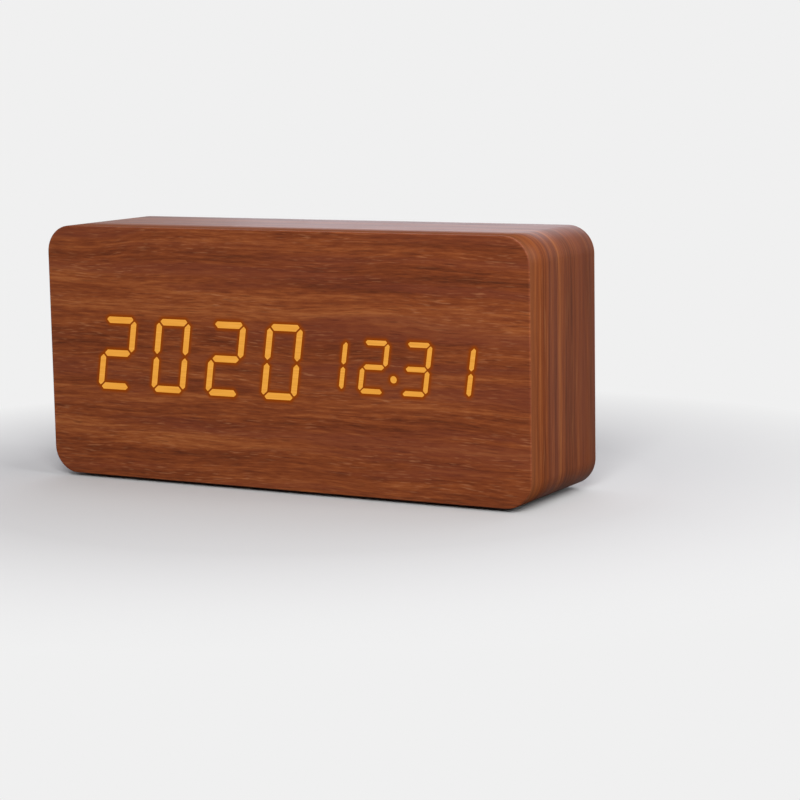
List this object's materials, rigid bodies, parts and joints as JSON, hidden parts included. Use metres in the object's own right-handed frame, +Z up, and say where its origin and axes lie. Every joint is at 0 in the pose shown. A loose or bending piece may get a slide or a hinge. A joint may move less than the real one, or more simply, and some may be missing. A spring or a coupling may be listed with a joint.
{
  "type": "digital led desk clock",
  "caption": "Wooden block desk clock whose amber LED digits glow through the front veneer, with a rear control panel and a battery bay.",
  "frame": {"origin": "centre of the footprint, on the surface that the four pads stand on", "axes": "+X to the right as the display is read, the display faces -Y, +Z up"},
  "size_m": [0.15, 0.04, 0.071],
  "materials": {
    "walnut_foil": "printed walnut grain under a satin coat",
    "fibreboard": "raw medium density fibreboard",
    "lit_segment": "thin veneer lit from behind, glowing amber",
    "diffuser_film": "milky film",
    "reflector_plastic": "moulded black, matt",
    "clear_resin": "clear cast resin",
    "led_package": "amber LED lens",
    "circuit_board": "green solder mask",
    "chip_plastic": "moulded epoxy, matt",
    "metal_can": "drawn can, satin",
    "zinc_steel": "zinc plated",
    "nickel_strip": "nickel plated spring steel",
    "header_nylon": "moulded nylon",
    "cable_jacket": "flexible PVC",
    "black_abs": "moulded ABS with a fine spark texture",
    "button_plastic": "polished ABS",
    "lever_plastic": "moulded acetal",
    "thermistor_epoxy": "dipped epoxy",
    "cell_wrap": "shrunk film over a steel can",
    "foot_rubber": "moulded rubber"
  },
  "bodies": {
    "case": {"case_body": "fibreboard", "side_wrap": "walnut_foil", "front_veneer": "walnut_foil", "rear_board": "fibreboard", "rear_veneer": "walnut_foil", "rear_board_screws": "zinc_steel", "diffuser_sheet": "diffuser_film", "segment_reflector": "reflector_plastic", "light_pipes": "clear_resin", "leds": "led_package", "led_board": "circuit_board", "led_board_screws": "zinc_steel", "clock_chip": "chip_plastic", "display_drivers": "chip_plastic", "crystal": "metal_can", "capacitor": "metal_can", "piezo_buzzer": "chip_plastic", "led_board_header": "header_nylon", "ribbon_cable": "cable_jacket", "rear_insert": "black_abs", "insert_screws": "zinc_steel", "battery_contacts": "nickel_strip", "battery_springs": "nickel_strip", "battery_leads": "cable_jacket", "control_board": "circuit_board", "control_board_screws": "zinc_steel", "control_board_header": "header_nylon", "push_switches": "chip_plastic", "sound_switch_body": "metal_can", "dc_jack_body": "black_abs", "dc_jack_contact": "nickel_strip", "dc_jack_pin": "nickel_strip", "microphone": "metal_can", "thermistor": "thermistor_epoxy", "year_digit_1": "lit_segment", "year_digit_2": "lit_segment", "year_digit_3": "lit_segment", "year_digit_4": "lit_segment", "date_digit_1": "lit_segment", "date_digit_2": "lit_segment", "date_digit_3": "lit_segment", "date_digit_4": "lit_segment", "date_point": "lit_segment", "battery_1": "cell_wrap", "battery_2": "cell_wrap", "battery_3": "cell_wrap", "battery_4": "cell_wrap", "foot_front_left": "foot_rubber", "foot_front_right": "foot_rubber", "foot_rear_left": "foot_rubber", "foot_rear_right": "foot_rubber"},
    "battery_door": {"battery_door": "black_abs"},
    "sound_switch": {"sound_switch_lever": "lever_plastic"},
    "set_button": {"set_button": "button_plastic", "set_plunger": "lever_plastic"},
    "up_button": {"up_button": "button_plastic", "up_plunger": "lever_plastic"},
    "down_button": {"down_button": "button_plastic", "down_plunger": "lever_plastic"}
  },
  "joints": [
    {"name": "set_button_press", "type": "slide", "parent": "case", "child": "set_button", "axis": [0, -1, 0], "range_m": [0, 0.0005], "stiffness_N_per_m": 400},
    {"name": "up_button_press", "type": "slide", "parent": "case", "child": "up_button", "axis": [0, -1, 0], "range_m": [0, 0.0005], "stiffness_N_per_m": 400},
    {"name": "down_button_press", "type": "slide", "parent": "case", "child": "down_button", "axis": [0, -1, 0], "range_m": [0, 0.0005], "stiffness_N_per_m": 400},
    {"name": "sound_switch_slide", "type": "slide", "parent": "case", "child": "sound_switch", "axis": [-1, 0, 0], "range_m": [0, 0.0025]},
    {"name": "battery_door_hinge", "type": "hinge", "parent": "case", "child": "battery_door", "pos_m": [0.0245, 0.0196, 0.0128], "axis": [-1, 0, 0], "range_deg": [0, 90]}
  ]
}
